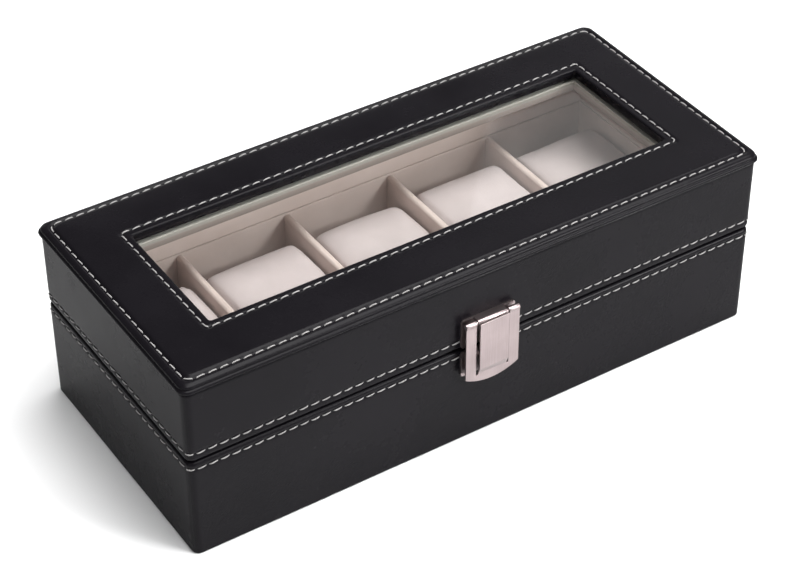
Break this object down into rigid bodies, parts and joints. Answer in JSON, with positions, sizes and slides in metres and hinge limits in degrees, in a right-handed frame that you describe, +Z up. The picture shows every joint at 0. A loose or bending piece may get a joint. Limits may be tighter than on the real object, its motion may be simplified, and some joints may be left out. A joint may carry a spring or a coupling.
{
  "type": "watch box",
  "caption": "Low black leather-covered watch box with a glass window in its hinged lid, divided compartments with lift-out cushions, light stitching and a small metal clasp.",
  "frame": {"origin": "middle of the flat underside, midway along the length and between the leather of the front and back walls", "axes": "+X along the length to the right, -Y towards the front with the clasp, +Y towards the hinges, +Z up"},
  "size_m": [0.2572, 0.1205, 0.081],
  "materials": {
    "leather": "smooth glossy black leatherette",
    "suede_lining": "short-pile beige suede cloth on card",
    "cushion_suede": "soft cream suede cloth over foam",
    "felt": "black non-woven felt",
    "board": "bare fibreboard",
    "glass": "clear polished",
    "satin_nickel": "satin nickel plate",
    "steel": "bright zinc plate",
    "fastener_steel": "bright zinc plate"
  },
  "bodies": {
    "base": {"base_bottom_panel": "board", "base_front_wall": "board", "base_back_wall": "board", "base_left_wall": "board", "base_right_wall": "board", "base_leather_wrap": "leather", "base_underside_felt": "felt", "base_floor_lining": "suede_lining", "base_lining_front": "suede_lining", "base_lining_back": "suede_lining", "base_lining_left": "suede_lining", "base_lining_right": "suede_lining", "divider_1": "suede_lining", "divider_2": "suede_lining", "divider_3": "suede_lining", "divider_4": "suede_lining", "clasp_base_plate": "satin_nickel", "clasp_base_brads": "fastener_steel", "hinge_left_base_leaf": "steel", "hinge_right_base_leaf": "steel", "hinge_left_pin": "steel", "hinge_right_pin": "steel", "hinge_base_screws": "fastener_steel"},
    "lid": {"lid_front_wall": "board", "lid_back_wall": "board", "lid_left_wall": "board", "lid_right_wall": "board", "lid_side_leather": "leather", "lid_lining_front": "suede_lining", "lid_lining_back": "suede_lining", "lid_lining_left": "suede_lining", "lid_lining_right": "suede_lining", "lid_top_board": "board", "lid_top_leather": "leather", "window_glass": "glass", "window_retainer_front": "suede_lining", "window_retainer_back": "suede_lining", "window_retainer_left": "suede_lining", "window_retainer_right": "suede_lining", "hinge_left_lid_leaf": "steel", "hinge_right_lid_leaf": "steel", "hinge_lid_screws": "fastener_steel", "clasp_lid_plate": "satin_nickel", "clasp_lid_brads": "fastener_steel", "clasp_pin": "steel"},
    "clasp_flap": {"clasp_flap": "satin_nickel", "clasp_spring_catch": "steel"},
    "cushion_1": {"cushion_1": "cushion_suede"},
    "cushion_2": {"cushion_2": "cushion_suede"},
    "cushion_3": {"cushion_3": "cushion_suede"},
    "cushion_4": {"cushion_4": "cushion_suede"},
    "cushion_5": {"cushion_5": "cushion_suede"}
  },
  "joints": [
    {"name": "lid_hinge", "type": "hinge", "parent": "base", "child": "lid", "pos_m": [0, 0.0576, 0.045], "axis": [-1, 0, 0], "range_deg": [0, 100]},
    {"name": "clasp_hinge", "type": "hinge", "parent": "lid", "child": "clasp_flap", "pos_m": [0, -0.0591, 0.0579], "axis": [-1, 0, 0], "range_deg": [0, 100]},
    {"name": "cushion_1_lift", "type": "slide", "parent": "base", "child": "cushion_1", "axis": [0, 0, 1], "range_m": [0, 0.024]},
    {"name": "cushion_2_lift", "type": "slide", "parent": "base", "child": "cushion_2", "axis": [0, 0, 1], "range_m": [0, 0.024]},
    {"name": "cushion_3_lift", "type": "slide", "parent": "base", "child": "cushion_3", "axis": [0, 0, 1], "range_m": [0, 0.024]},
    {"name": "cushion_4_lift", "type": "slide", "parent": "base", "child": "cushion_4", "axis": [0, 0, 1], "range_m": [0, 0.024]},
    {"name": "cushion_5_lift", "type": "slide", "parent": "base", "child": "cushion_5", "axis": [0, 0, 1], "range_m": [0, 0.024]}
  ]
}
